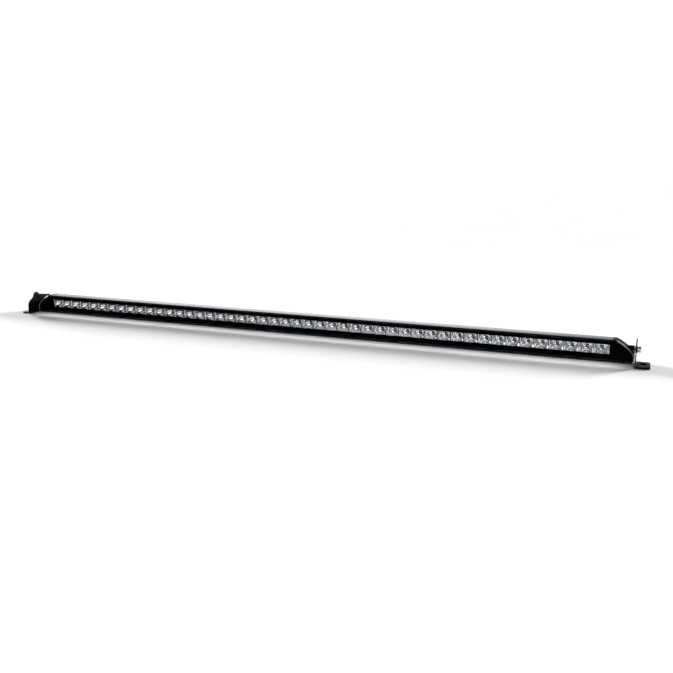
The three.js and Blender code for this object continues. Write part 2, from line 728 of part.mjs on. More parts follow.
moduleCentres().forEach((x, i) => {
  const number = i + 1;
  const middle = [x, 0, ROW_Z];
  place(bar, `reflector_module_${number}`, reflectorModule(), MATERIALS.mirror, middle);
  place(bar, `led_board_${number}`, ledBoard(), MATERIALS.circuitBoard, middle);
  place(bar, `thermal_pad_${number}`, thermalPad(), MATERIALS.thermalPad, middle);
  ['a', 'b'].forEach((letter, j) => {
    const screwX = x + (j === 0 ? -BOARD_SCREW_X : BOARD_SCREW_X);
    const position = [screwX, 0, BOARD_SCREW_Z];
    place(bar, `board_screw_${number}${letter}`, boardScrew(), MATERIALS.stainless, position);
  });
});

place(bar, 'driver_board', driverBoard(), MATERIALS.greenBoard);
place(bar, 'driver_pad', driverPad(), MATERIALS.thermalPad);
place(bar, 'inner_lead_red', innerLead(-LEAD_RISE), MATERIALS.redWire);
place(bar, 'inner_lead_black', innerLead(LEAD_RISE), MATERIALS.blackWire);

const glandPosition = [-FITTING_X, 0, FITTING_Z];
const ventPosition = [FITTING_X, 0, FITTING_Z];
place(bar, 'gland_body', glandBody(), MATERIALS.nylon, glandPosition);
place(bar, 'gland_nut', glandNut(), MATERIALS.nylon, glandPosition);
place(bar, 'gland_seal', glandSeal(), MATERIALS.rubber, glandPosition);
place(bar, 'vent_body', ventBody(), MATERIALS.nylon, ventPosition);
place(bar, 'vent_membrane', ventMembrane(), MATERIALS.thermalPad, ventPosition);

placePair(bar, 'pivot_bolt', pivotBolt(), MATERIALS.stainless);
placePair(bar, 'pivot_washer', pivotWasher(), MATERIALS.stainless);
placePair(bar, 'lock_washer', lockWasher(), MATERIALS.stainless);
placePair(bar, 'pivot_bush', pivotBush(), MATERIALS.nylon);
placePair(bar, 'pivot_nut', pivotNut(), MATERIALS.stainless);
placePair(brackets, 'bracket', bracket(), MATERIALS.bracketCoat);
placePair(brackets, 'foot_pad', footPad(), MATERIALS.rubber);

export default lightBar;
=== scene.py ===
"""The looks of a slim LED light bar: one row of mirror cells behind a flush lens, held by
a bent bracket at each end. Shapes are worked out in millimetres, as depths behind the
front face and heights above the bar's lower edge, and stored in metres in the row frame.
"""

import json
import math

import bmesh
import bpy
from mathutils import Matrix, Vector


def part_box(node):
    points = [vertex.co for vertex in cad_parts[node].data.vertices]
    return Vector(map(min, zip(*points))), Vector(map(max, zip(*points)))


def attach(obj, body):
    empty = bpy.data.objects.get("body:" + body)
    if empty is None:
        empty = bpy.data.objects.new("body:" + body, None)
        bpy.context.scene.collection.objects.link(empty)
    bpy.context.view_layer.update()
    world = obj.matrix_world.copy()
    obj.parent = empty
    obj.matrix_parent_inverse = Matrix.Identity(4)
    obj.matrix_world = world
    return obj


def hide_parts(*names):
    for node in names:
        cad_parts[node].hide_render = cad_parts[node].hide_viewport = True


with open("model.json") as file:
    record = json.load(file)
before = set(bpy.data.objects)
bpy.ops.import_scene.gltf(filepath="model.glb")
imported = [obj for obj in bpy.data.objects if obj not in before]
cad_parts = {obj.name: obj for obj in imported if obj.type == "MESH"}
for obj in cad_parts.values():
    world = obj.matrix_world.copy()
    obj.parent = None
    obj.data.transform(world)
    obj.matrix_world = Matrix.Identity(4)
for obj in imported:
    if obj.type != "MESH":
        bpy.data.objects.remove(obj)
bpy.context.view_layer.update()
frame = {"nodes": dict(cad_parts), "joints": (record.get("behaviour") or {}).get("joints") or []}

MM = 0.001


# ------------------------------------------------------------ places taken from the frame


def box_mm(node):
    """A CAD node's lowest and highest corners, in millimetres."""
    low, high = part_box(node)
    return low / MM, high / MM


HOUSING = box_mm("housing")
CAP = box_mm("end_cap_right")
LENS = box_mm("front_lens")
BEZEL = box_mm("front_bezel")
REFLECTOR = box_mm("reflector_module_1")
BOARD = box_mm("led_board_1")
BRACKET = box_mm("bracket_right")
PAD = box_mm("foot_pad_right")
BOLT = box_mm("pivot_bolt_right")
WASHER = box_mm("pivot_washer_right")
LOCK_WASHER = box_mm("lock_washer_right")
BUSH = box_mm("pivot_bush_right")
GLAND = box_mm("gland_body")
GLAND_NUT = box_mm("gland_nut")
VENT = box_mm("vent_body")

FACE_Y = HOUSING[0].y
BAR_Z = HOUSING[0].z
HEIGHT = HOUSING[1].z - BAR_Z
FIN_DEPTH = HOUSING[1].y - FACE_Y
SEAM_X = HOUSING[1].x
CAP_X = CAP[0].x
PIVOT = Vector(frame["joints"][0]["pos_m"]) / MM
ROW_Z = (REFLECTOR[0].z + REFLECTOR[1].z) / 2 - BAR_Z

# Sizes that the CAD model shares, in its own terms.
RIM = 1.6
LENS_GAP = 0.2
END_X = LENS[1].x + (RIM + LENS_GAP)
SHOULDER_X = END_X - 30
BODY_DEPTH = 26
CORNER_RADIUS = 6
EDGE_CHAMFER = 1.3
LEDGE = 3.6
RECESS_DEPTH = 4
CAVITY_DEPTH = 21.2
CELL_PITCH = 25
CELLS_PER_MODULE = 12
MODULE_COUNT = 4
SCREW_PORT_HEIGHTS = (6.5, 32.5)
BOSS_START_X = 617.5
BOSS_RADIUS = 6.5
BOLT_RADIUS = 3
BOLT_HOLE_RADIUS = 3.3
FITTING_RADIUS = 4.6
FITTING_HOLE_RADIUS = 4.9
GLAND_BORE_RADIUS = 3.5


def centre_xz(low, high):
    return (low.x + high.x) / 2, (low.z + high.z) / 2


def at(x, depth, height):
    """A point of the bar, from its depth behind the face and height above its lower edge."""
    return Vector((x, FACE_Y + depth, BAR_Z + height))


# ------------------------------------------------------------ materials


def new_material(name, **settings):
    """A Principled material with constant settings; returns it with its node tree."""
    material = bpy.data.materials.new(name)
    material.use_nodes = True
    shader = material.node_tree.nodes["Principled BSDF"]
    for key, value in settings.items():
        shader.inputs[key.replace("_", " ")].default_value = value
    return material, material.node_tree, shader


def texture_point(tree, stretch=(1, 1, 1)):
    """Object coordinates, stretched so that a texture runs along one direction."""
    coordinates = tree.nodes.new("ShaderNodeTexCoord")
    mapping = tree.nodes.new("ShaderNodeMapping")
    mapping.inputs["Scale"].default_value = stretch
    tree.links.new(coordinates.outputs["Object"], mapping.inputs["Vector"])
    return mapping.outputs["Vector"]


def noise(tree, scale, stretch=(1, 1, 1), detail=3.0):
    node = tree.nodes.new("ShaderNodeTexNoise")
    node.inputs["Scale"].default_value = scale
    node.inputs["Detail"].default_value = detail
    tree.links.new(texture_point(tree, stretch), node.inputs["Vector"])
    return node.outputs["Fac"]


def colour_range(tree, shader, value, dark, light):
    """Vary the base colour between two near tones."""
    ramp = tree.nodes.new("ShaderNodeValToRGB")
    ramp.color_ramp.elements[0].position = 0.3
    ramp.color_ramp.elements[1].position = 0.7
    ramp.color_ramp.elements[0].color = (*dark, 1)
    ramp.color_ramp.elements[1].color = (*light, 1)
    tree.links.new(value, ramp.inputs["Fac"])
    tree.links.new(ramp.outputs["Color"], shader.inputs["Base Color"])


def roughness_range(tree, shader, value, low, high):
    spread = tree.nodes.new("ShaderNodeMapRange")
    spread.inputs["From Min"].default_value = 0.3
    spread.inputs["From Max"].default_value = 0.7
    spread.inputs["To Min"].default_value = low
    spread.inputs["To Max"].default_value = high
    tree.links.new(value, spread.inputs["Value"])
    tree.links.new(spread.outputs["Result"], shader.inputs["Roughness"])


def bump(tree, shader, value, strength, distance):
    node = tree.nodes.new("ShaderNodeBump")
    node.inputs["Strength"].default_value = strength
    node.inputs["Distance"].default_value = distance
    tree.links.new(value, node.inputs["Height"])
    tree.links.new(node.outputs["Normal"], shader.inputs["Normal"])


def powder_coat(name, dark, light, roughness, grain, index):
    """Sprayed and baked black: a fine orange peel over metal."""
    material, tree, shader = new_material(name, IOR=index)
    colour_range(tree, shader, noise(tree, 160, detail=6), dark, light)
    roughness_range(tree, shader, noise(tree, 420), roughness - 0.05, roughness + 0.06)
    bump(tree, shader, noise(tree, grain, detail=2), 0.25, 0.00004)
    return material


def machined_edge():
    """The bare aluminium left where the black coat is cut away, with fine cutter lines."""
    material, tree, shader = new_material("machined_aluminium", Metallic=0.7)
    lines = noise(tree, 500, stretch=(0.08, 1, 1))
    colour_range(tree, shader, lines, (0.80, 0.81, 0.82), (0.92, 0.93, 0.94))
    roughness_range(tree, shader, lines, 0.34, 0.48)
    bump(tree, shader, lines, 0.15, 0.00002)
    return material


def clear_polycarbonate():
    material, tree, shader = new_material(
        "clear_polycarbonate",
        Base_Color=(1, 1, 1, 1),
        IOR=1.03,
        Transmission_Weight=1.0,
    )
    roughness_range(tree, shader, noise(tree, 30), 0.0, 0.015)
    return material


def moulded_plastic(name, dark, light, roughness, grain=900, index=1.46):
    material, tree, shader = new_material(name, IOR=index)
    colour_range(tree, shader, noise(tree, 120), dark, light)
    roughness_range(tree, shader, noise(tree, 260), roughness - 0.05, roughness + 0.05)
    bump(tree, shader, noise(tree, grain), 0.3, 0.00003)
    return material


def metallised_mirror():
    """Vacuum-metallised plastic: nearly a mirror, with a faint waviness."""
    material, tree, shader = new_material("metallised_mirror", Metallic=1.0)
    colour_range(tree, shader, noise(tree, 90), (0.80, 0.82, 0.85), (0.88, 0.89, 0.91))
    roughness_range(tree, shader, noise(tree, 240), 0.05, 0.1)
    bump(tree, shader, noise(tree, 220, detail=1), 0.2, 0.0001)
    return material


def stainless(name, low, high):
    material, tree, shader = new_material(name, Metallic=1.0)
    lines = noise(tree, 900, stretch=(1, 0.3, 0.3))
    colour_range(tree, shader, lines, (0.52, 0.52, 0.51), (0.70, 0.70, 0.69))
    roughness_range(tree, shader, lines, low, high)
    bump(tree, shader, lines, 0.12, 0.00003)
    return material


def rubber(name, dark, light):
    material, tree, shader = new_material(name, IOR=1.4)
    colour_range(tree, shader, noise(tree, 300), dark, light)
    roughness_range(tree, shader, noise(tree, 500), 0.72, 0.88)
    bump(tree, shader, noise(tree, 1400), 0.4, 0.00005)
    return material


def circuit_board(name, mask, trace):
    """Solder mask over copper: a grid of slightly raised tracks shows through."""
    material, tree, shader = new_material(name, IOR=1.5)
    bricks = tree.nodes.new("ShaderNodeTexBrick")
    bricks.inputs["Scale"].default_value = 60
    bricks.inputs["Mortar Size"].default_value = 0.03
    bricks.inputs["Color1"].default_value = (*mask, 1)
    bricks.inputs["Color2"].default_value = (*mask, 1)
    bricks.inputs["Mortar"].default_value = (*trace, 1)
    tree.links.new(texture_point(tree), bricks.inputs["Vector"])
    tree.links.new(bricks.outputs["Color"], shader.inputs["Base Color"])
    roughness_range(tree, shader, noise(tree, 300), 0.32, 0.45)
    bump(tree, shader, bricks.outputs["Fac"], 0.3, 0.00003)
    return material


# Painted shade: the phosphor is painted a dim brownish yellow, far darker than its real bright yellow,
# for the shade of the throat it sits behind.
def phosphor():
    material, tree, shader = new_material("led_phosphor_painted_shade", IOR=1.41)
    colour_range(tree, shader, noise(tree, 4000), (0.20, 0.17, 0.08), (0.26, 0.22, 0.11))
    roughness_range(tree, shader, noise(tree, 2500), 0.35, 0.5)
    return material


def wire_insulation(name, dark, light):
    material, tree, shader = new_material(name, IOR=1.45)
    colour_range(tree, shader, noise(tree, 200), dark, light)
    roughness_range(tree, shader, noise(tree, 400), 0.4, 0.55)
    return material


COAT_DARK = (0.003, 0.003, 0.003)
COAT_LIGHT = (0.006, 0.006, 0.006)
BLACK_COAT = powder_coat("black_powder_coat", COAT_DARK, COAT_LIGHT, 0.22, 1500, 1.27)
CAP_COAT = powder_coat("cast_cap_coat", COAT_DARK, COAT_LIGHT, 0.16, 1100, 1.03)
MACHINED = machined_edge()
LENS_CLEAR = clear_polycarbonate()
BEZEL_DARK = (0.001, 0.001, 0.001)
BEZEL_LIGHT = (0.002, 0.002, 0.002)
BEZEL_BLACK = moulded_plastic("bezel_black", BEZEL_DARK, BEZEL_LIGHT, 0.3, index=1.06)
MIRROR = metallised_mirror()
BOARD_MASK = circuit_board("black_solder_mask", (0.008, 0.009, 0.009), (0.03, 0.03, 0.03))
# Painted shade: the LED's ceramic is painted dark grey instead of its real white, for the shade of the
# throat it sits in.
LED_CERAMIC_PAINTED_SHADE = moulded_plastic("led_ceramic_painted_shade", (0.16, 0.16, 0.15), (0.22, 0.22, 0.21), 0.5, 3000)
PHOSPHOR_PAINTED_SHADE = phosphor()
GREEN_BOARD = circuit_board("green_solder_mask", (0.01, 0.07, 0.03), (0.02, 0.14, 0.05))
RUBBER = rubber("black_rubber", (0.010, 0.010, 0.010), (0.022, 0.022, 0.022))
GREY_PAD = rubber("grey_gap_pad", (0.20, 0.20, 0.23), (0.28, 0.28, 0.31))
BRACKET_COAT = powder_coat("bracket_coat", COAT_DARK, (0.008, 0.008, 0.008), 0.4, 900, 1.06)
STAINLESS = stainless("stainless_steel", 0.2, 0.32)
NYLON = moulded_plastic("black_nylon", (0.010, 0.010, 0.011), (0.02, 0.02, 0.021), 0.5)
RED_WIRE = wire_insulation("red_insulation", (0.42, 0.02, 0.015), (0.52, 0.03, 0.02))
BLACK_WIRE = wire_insulation("black_insulation", (0.012, 0.012, 0.012), (0.02, 0.02, 0.02))


# ------------------------------------------------------------ mesh helpers


def to_object(name, mesh_builder, *materials):
    """Turn a bmesh in millimetres into an object in metres, with its normals outwards."""
    bmesh.ops.remove_doubles(mesh_builder, verts=mesh_builder.verts, dist=1e-4)
    bmesh.ops.recalc_face_normals(mesh_builder, faces=mesh_builder.faces)
    bmesh.ops.scale(mesh_builder, vec=(MM, MM, MM), verts=mesh_builder.verts)
    mesh = bpy.data.meshes.new(name)
    mesh_builder.to_mesh(mesh)
    mesh_builder.free()
    for material in materials:
        mesh.materials.append(material)
    obj = bpy.data.objects.new(name, mesh)
    bpy.context.scene.collection.objects.link(obj)
    return obj


def smooth(obj, angle=32):
    """Shade smooth, but keep the edges sharper than the angle, in degrees."""
    obj.data.shade_smooth()
    obj.data.set_sharp_from_angle(angle=math.radians(angle))
    return obj


def apply_modifiers(obj):
    graph = bpy.context.evaluated_depsgraph_get()
    graph.update()
    shaped = bpy.data.meshes.new_from_object(obj.evaluated_get(graph))
    old = obj.data
    obj.modifiers.clear()
    shaped.name = old.name
    obj.data = shaped
    bpy.data.meshes.remove(old)


def round_edges(obj, width, segments=2, angle=35):
    """Round every edge sharper than the angle, by a width in millimetres."""
    modifier = obj.modifiers.new("round", "BEVEL")
    modifier.width = width * MM
    modifier.segments = segments
    modifier.limit_method = "ANGLE"
    modifier.angle_limit = math.radians(angle)
    modifier.use_clamp_overlap = True
    apply_modifiers(obj)
    return smooth(obj)


def combine(obj, operation, others):
    """Join to, cut from or keep what is common with other objects, which are used up."""
    for other in others:
        modifier = obj.modifiers.new("combine", "BOOLEAN")
        modifier.operation = operation
        modifier.object = other
        modifier.solver = "EXACT"
        apply_modifiers(obj)
        bpy.data.objects.remove(other)
    return obj


def skin(mesh_builder, loops, closed, material_index=0):
    """Quads between neighbouring loops of points; returns the loops' vertices."""
    rows = [[mesh_builder.verts.new(point) for point in loop] for loop in loops]
    count = len(rows[0])
    for row, following in zip(rows, rows[1:]):
        for i in range(count if closed else count - 1):
            j = (i + 1) % count
            face = mesh_builder.faces.new((row[i], row[j], following[j], following[i]))
            face.material_index = material_index
    return rows


AXES = {
    "x": lambda u, v, along: Vector((along, u, v)),
    "y": lambda u, v, along: Vector((u, along, v)),
    "z": lambda u, v, along: Vector((u, v, along)),
}


def prism(name, outline, axis, span, *materials):
    """A closed outline across an axis, extruded along it between two places."""
    builder = bmesh.new()
    loops = [[AXES[axis](u, v, along) for u, v in outline] for along in span]
    rows = skin(builder, loops, closed=True)
    for row in rows:
        builder.faces.new(row)
    return to_object(name, builder, *materials)


def circle_points(centre, radius, count=32):
    angles = [2 * math.pi * i / count for i in range(count)]
    return [(centre[0] + radius * math.cos(a), centre[1] + radius * math.sin(a)) for a in angles]


def turned(name, profile, axis, centre, *materials, segments=48, hollow=False):
    """A turned piece: (along, radius) pairs round an axis through a centre (u, v)."""
    builder = bmesh.new()
    loops = []
    for along, radius in profile:
        circle = circle_points(centre, radius, segments)
        loops.append([AXES[axis](u, v, along) for u, v in circle])
    if hollow:
        loops.append(loops[0])
    rows = skin(builder, loops, closed=True)
    if not hollow:
        builder.faces.new(rows[0])
        builder.faces.new(rows[-1])
    return to_object(name, builder, *materials)


def ring(name, inner, outer, span, axis, centre, *materials):
    """A turned piece with a round hole through it."""
    profile = [(span[0], inner), (span[0], outer), (span[1], outer), (span[1], inner)]
    return turned(name, profile, axis, centre, *materials, hollow=True)


def hexagon(centre, radius, corner_up=False):
    """A hexagon with a corner along the first direction, or along the second."""
    points = circle_points((0, 0), radius, 6)
    if corner_up:
        points = [(-v, u) for u, v in points]
    return [(centre[0] + u, centre[1] + v) for u, v in points]


def arc_points(centre, radius, start, end, count=10):
    """Points of an arc between two angles in degrees."""
    angles = [math.radians(start + (end - start) * i / count) for i in range(count + 1)]
    return [(centre[0] + radius * math.cos(a), centre[1] + radius * math.sin(a)) for a in angles]


def bezier_points(p0, p1, p2, p3, count=16):
    """Points of a cubic curve, without its first one."""
    points = []
    for i in range(1, count + 1):
        t = i / count
        weights = ((1 - t) ** 3, 3 * t * (1 - t) ** 2, 3 * t * t * (1 - t), t**3)
        weighted = list(zip(weights, (p0, p1, p2, p3)))
        points.append(tuple(sum(w * p[k] for w, p in weighted) for k in (0, 1)))
    return points


def rectangle(low, high):
    """A closed outline from its lowest and highest corners."""
    return [low, (high[0], low[1]), high, (low[0], high[1])]


def rounded(points, radius, count=3):
    """The same closed outline with every corner turned into a short curve."""
    result = []
    for i, corner in enumerate(points):
        here = Vector(corner)
        before = Vector(points[i - 1]) - here
        after = Vector(points[(i + 1) % len(points)]) - here
        reach = min(radius, before.length * 0.45, after.length * 0.45)
        start = here + before.normalized() * reach
        end = here + after.normalized() * reach
        for k in range(count + 1):
            t = k / count
            point = start * (1 - t) ** 2 + here * 2 * t * (1 - t) + end * t * t
            result.append(tuple(point))
    return result


def slot_points(centre, half_width, half_length, count=12):
    """A slot along the second direction, with round ends."""
    reach = half_length - half_width
    upper = arc_points((centre[0], centre[1] + reach), half_width, 0, 180, count)
    lower = arc_points((centre[0], centre[1] - reach), half_width, 180, 360, count)
    return upper + lower


def mirrored(obj, name):
    """The same piece at the other end of the bar."""
    mesh = obj.data.copy()
    mesh.name = name
    mesh.transform(Matrix.Scale(-1, 4, Vector((1, 0, 0))))
    mesh.flip_normals()
    copy = bpy.data.objects.new(name, mesh)
    bpy.context.scene.collection.objects.link(copy)
    return copy


def stands_for(obj, body, slot, *nodes):
    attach(obj, body)
    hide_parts(*nodes)
    return obj


def stands_for_pair(obj, name, bodies, slot):
    """Use a right-hand piece at both ends, for the two CAD nodes of the same name."""
    left = mirrored(obj, f"{obj.name}_left")
    stands_for(obj, bodies[1], slot, f"{name}_right")
    stands_for(left, bodies[0], slot, f"{name}_left")


BAR_BOTH = ("bar", "bar")
MOUNTS = ("left_mount", "right_mount")


# ------------------------------------------------------------ the bar's own outline


def end_curve(inset):
    """The right end of the face, from the lower edge round to the flat top."""
    end_x = END_X - inset
    top = HEIGHT - inset
    radius = CORNER_RADIUS - inset
    side = CORNER_RADIUS + 3
    shoulder = SHOULDER_X - 0.24 * inset
    low_handle = (end_x, side + 10.5 - 0.35 * inset)
    high_handle = (SHOULDER_X + 16 - 0.45 * inset, top - 8.1 + 0.11 * inset)
    corner = arc_points((end_x - radius, inset + radius), radius, -90, 0)
    return corner + [(end_x, side)] + bezier_points(
        (end_x, side), low_handle, high_handle, (shoulder, top)
    )


def face_loop(inset, depth):
    """The whole face at a depth, as a closed loop of points."""
    right = end_curve(inset)
    left = [(-x, z) for x, z in reversed(right)]
    return [at(x, depth, z) for x, z in right + left]


def plate_from_loops(name, loops, *materials):
    """A flat pane with shaped edges, from closed loops front to back."""
    builder = bmesh.new()
    rows = skin(builder, loops, closed=True)
    builder.faces.new(rows[0])
    builder.faces.new(rows[-1])
    return to_object(name, builder, *materials)


# ------------------------------------------------------------ housing and end caps

FIN_HEIGHTS = (13.5, 17.5, 21.5, 25.5)
FIN_HALF = 0.8
PORT_HALF = 3
PORT_DEPTH = 33
LUG_LENGTH = 4.2


def heat_sink_outline():
    """Rear of the extrusion: a screw port below and above, thin cooling fins between."""
    fins = [(z, FIN_HALF, FIN_DEPTH) for z in FIN_HEIGHTS]
    ports = [(z, PORT_HALF, PORT_DEPTH) for z in SCREW_PORT_HEIGHTS]
    points = []
    for z, half, rear in sorted(fins + ports):
        points += [(BODY_DEPTH, z - half), (rear, z - half), (rear, z + half), (BODY_DEPTH, z + half)]
    return points


def make_housing():
    outline = [(0, EDGE_CHAMFER), (EDGE_CHAMFER, 0), (BODY_DEPTH, 0)]
    outline += heat_sink_outline()
    outline += [(BODY_DEPTH, HEIGHT), (EDGE_CHAMFER, HEIGHT), (0, HEIGHT - EDGE_CHAMFER)]
    outline += [(0, HEIGHT - RIM), (RECESS_DEPTH, HEIGHT - RIM), (RECESS_DEPTH, HEIGHT - LEDGE)]
    outline += [(CAVITY_DEPTH, HEIGHT - LEDGE), (CAVITY_DEPTH, LEDGE), (RECESS_DEPTH, LEDGE)]
    outline += [(RECESS_DEPTH, RIM), (0, RIM)]
    section = [(FACE_Y + y, BAR_Z + z) for y, z in rounded(outline, 0.5)]
    housing = prism("housing_extrusion", section, "x", (-SEAM_X, SEAM_X), BLACK_COAT)
    stands_for(smooth(housing, 20), "bar", "black_coat", "housing")


# The end cap's section round its edge, front inside to rear outside: (inset, depth).
CAP_SECTION = [
    (LEDGE, CAVITY_DEPTH),
    (LEDGE, RECESS_DEPTH),
    (RIM, RECESS_DEPTH),
    (RIM, 0.15),
    (RIM - 0.15, 0),
    (EDGE_CHAMFER, 0),
    (0, EDGE_CHAMFER),
    (0, BODY_DEPTH - 0.5),
    (0.5, BODY_DEPTH),
]
MACHINED_STRIPS = (3, 4, 5)  # from the lip of the rim to the chamfer
COATED_START = 4  # faces at the start of those strips that keep their black coat


def end_cap_loop(inset, depth):
    """One open loop of the end cap, from its seam below to its seam above."""
    curve = [(CAP_X, inset)] + end_curve(inset) + [(CAP_X, HEIGHT - inset)]
    return [at(x, depth, z) for x, z in curve]


def end_cap_shell():
    """The casting round the end of the face, with the bare strip that the cutter leaves."""
    builder = bmesh.new()
    rows = skin(builder, [end_cap_loop(*entry) for entry in CAP_SECTION], closed=False)
    builder.faces.new(rows[0])
    builder.faces.new(rows[-1])
    builder.faces.new([row[0] for row in rows] + [row[-1] for row in reversed(rows)])
    builder.faces.ensure_lookup_table()
    per_strip = len(rows[0]) - 1
    for strip in MACHINED_STRIPS:
        first = strip * per_strip + COATED_START
        last = (strip + 1) * per_strip - 1
        for face in builder.faces[first:last]:
            face.material_index = 1
    return to_object("end_cap_casting", builder, CAP_COAT, MACHINED)


def screw_lug(height):
    """The block behind the end cap that one of its screws passes through."""
    low = (FACE_Y + BODY_DEPTH - 1, BAR_Z + height - PORT_HALF)
    high = (FACE_Y + PORT_DEPTH, BAR_Z + height + PORT_HALF)
    return prism("lug", rounded(rectangle(low, high), 1), "x", (CAP_X, CAP_X + LUG_LENGTH), CAP_COAT)


def make_end_caps():
    cap = end_cap_shell()
    centre = (PIVOT.y, PIVOT.z)
    boss_end = BUSH[0].x - 0.3
    boss_profile = [
        (BOSS_START_X, BOSS_RADIUS),
        (boss_end - 0.5, BOSS_RADIUS),
        (boss_end, BOSS_RADIUS - 0.5),
    ]
    boss = turned("boss", boss_profile, "x", centre, CAP_COAT)
    combine(cap, "UNION", [boss, *[screw_lug(height) for height in SCREW_PORT_HEIGHTS]])
    through = (BOSS_START_X - 1.5, END_X + 1)
    bolt_hole = prism("cut", circle_points(centre, BOLT_HOLE_RADIUS), "x", through)
    wall = (FACE_Y + CAVITY_DEPTH - 1.2, FACE_Y + BODY_DEPTH + 1)
    fitting_hole = prism("cut", circle_points(centre_xz(*VENT), FITTING_HOLE_RADIUS), "y", wall)
    combine(cap, "DIFFERENCE", [bolt_hole, fitting_hole])
    stands_for_pair(smooth(cap, 25), "end_cap", BAR_BOTH, "black_coat")


# ------------------------------------------------------------ lens and bezel

CELL_HALF_WIDTH = 12
CELL_TOP = 7.7
CELL_BOTTOM = -8.6
BEZEL_GAP = 0.2


def make_lens():
    front = LENS[0].y - FACE_Y
    rear = LENS[1].y - FACE_Y
    inset = RIM + LENS_GAP
    loops = [
        face_loop(inset + 0.5, front),
        face_loop(inset + 0.15, front + 0.15),
        face_loop(inset, front + 0.5),
        face_loop(inset, rear - 0.2),
        face_loop(inset + 0.2, rear),
    ]
    lens = plate_from_loops("lens_pane", loops, LENS_CLEAR)
    stands_for(smooth(lens, 50), "bar", "clear_lens", "front_lens")


def make_bezel():
    front, rear = BEZEL[0].y, BEZEL[1].y
    loops = [face_loop(LEDGE + 0.3, depth - FACE_Y) for depth in (front, rear)]
    bezel = plate_from_loops("bezel_panel", loops, BEZEL_BLACK)
    half_x = CELL_PITCH * CELLS_PER_MODULE * MODULE_COUNT / 2 + 0.6
    middle = BAR_Z + ROW_Z
    low = (-half_x, middle + CELL_BOTTOM - BEZEL_GAP)
    high = (half_x, middle + CELL_TOP + BEZEL_GAP)
    opening = rounded(rectangle(low, high), 1.2, 5)
    combine(bezel, "DIFFERENCE", [prism("cut", opening, "y", (front - 1, rear + 1))])
    stands_for(smooth(bezel), "bar", "bezel", "front_bezel")


# ------------------------------------------------------------ light engine

DRAFT = 0.12
THROAT = 3.4  # half of the square opening that the LED shows in
LED_HALF = 1.4
CHIP_HALF = 1
RESISTOR_PLACE = (7, -11.4)
RESISTOR_HALF = (1, 0.6)
BOX_FACES = ((0, 1, 3, 2), (4, 6, 7, 5), (0, 4, 5, 1), (2, 3, 7, 6), (0, 2, 6, 4), (1, 5, 7, 3))


def bowl_lines(low, high, steps):
    """Lattice places across one cell: its rim, the drafted wall, then the bowl."""
    first, last = low + DRAFT, high - DRAFT
    inner = [first + (last - first) * i / steps for i in range(steps + 1)]
    return [low, *inner, high]


def bowl_depth(x, z, reach):
    """Height of the bowl in front of its vertex: a dish cut off by the cell's four walls."""
    corner = CELL_HALF_WIDTH**2 + CELL_TOP**2
    return reach * min(1.0, (x * x + z * z) / corner)


def make_reflector_module(number, centre_x):
    """Twelve mirror dishes in one moulding, as a closed solid on a lattice."""
    front = REFLECTOR[0].y
    rear = REFLECTOR[1].y
    reach = rear - front
    edge = (REFLECTOR[1].x - REFLECTOR[0].x) / 2
    half_height = (REFLECTOR[1].z - REFLECTOR[0].z) / 2
    columns = [(-edge, None)]
    for i in range(CELLS_PER_MODULE):
        middle = (i + 0.5 - CELLS_PER_MODULE / 2) * CELL_PITCH
        for offset in bowl_lines(-CELL_HALF_WIDTH, CELL_HALF_WIDTH, 16):
            columns.append((middle + offset, offset))
    columns.append((edge, None))
    rows = [-half_height, *bowl_lines(CELL_BOTTOM, CELL_TOP, 12), half_height]

    def surface(x_offset, z):
        inside = x_offset is not None and abs(x_offset) < CELL_HALF_WIDTH
        inside = inside and CELL_BOTTOM < z < CELL_TOP
        return rear - bowl_depth(x_offset, z, reach) if inside else front

    def is_throat(i, j):
        offsets = (columns[i][1], columns[i + 1][1])
        if None in offsets or offsets[1] < offsets[0]:
            return False
        in_x = abs(sum(offsets) / 2) < THROAT
        return in_x and abs((rows[j] + rows[j + 1]) / 2) < THROAT

    builder = bmesh.new()
    z0 = BAR_Z + ROW_Z
    near = []
    for x, offset in columns:
        near.append([builder.verts.new((centre_x + x, surface(offset, z), z0 + z)) for z in rows])
    far = []
    for x, _ in columns:
        far.append([builder.verts.new((centre_x + x, rear, z0 + z)) for z in rows])
    for i in range(len(columns) - 1):
        for j in range(len(rows) - 1):
            if is_throat(i, j):
                continue
            for sheet in (near, far):
                corners = (sheet[i][j], sheet[i + 1][j], sheet[i + 1][j + 1], sheet[i][j + 1])
                builder.faces.new(corners)
    builder.edges.ensure_lookup_table()
    close_rims(builder, near, far)
    module = to_object(f"reflector_cells_{number}", builder, MIRROR)
    stands_for(smooth(module, 40), "bar", "reflector", f"reflector_module_{number}")


def close_rims(builder, near, far):
    """Walls between the front and back sheets, at the outer edge and round each throat."""
    partner = {a: b for row_a, row_b in zip(near, far) for a, b in zip(row_a, row_b)}
    for edge in list(builder.edges):
        a, b = edge.verts
        if a in partner and b in partner and len(edge.link_faces) == 1:
            builder.faces.new((a, b, partner[b], partner[a]))


def box_into(builder, low, high, material_index):
    verts = [
        builder.verts.new((x, y, z))
        for x in (low[0], high[0])
        for y in (low[1], high[1])
        for z in (low[2], high[2])
    ]
    for quad in BOX_FACES:
        builder.faces.new([verts[k] for k in quad]).material_index = material_index


def chip_into(builder, centre, half, span, material_index):
    """A block on a board, from its centre and half size in X and Z and its span in Y."""
    low = (centre[0] - half[0], span[0], centre[1] - half[1])
    high = (centre[0] + half[0], span[1], centre[1] + half[1])
    box_into(builder, low, high, material_index)


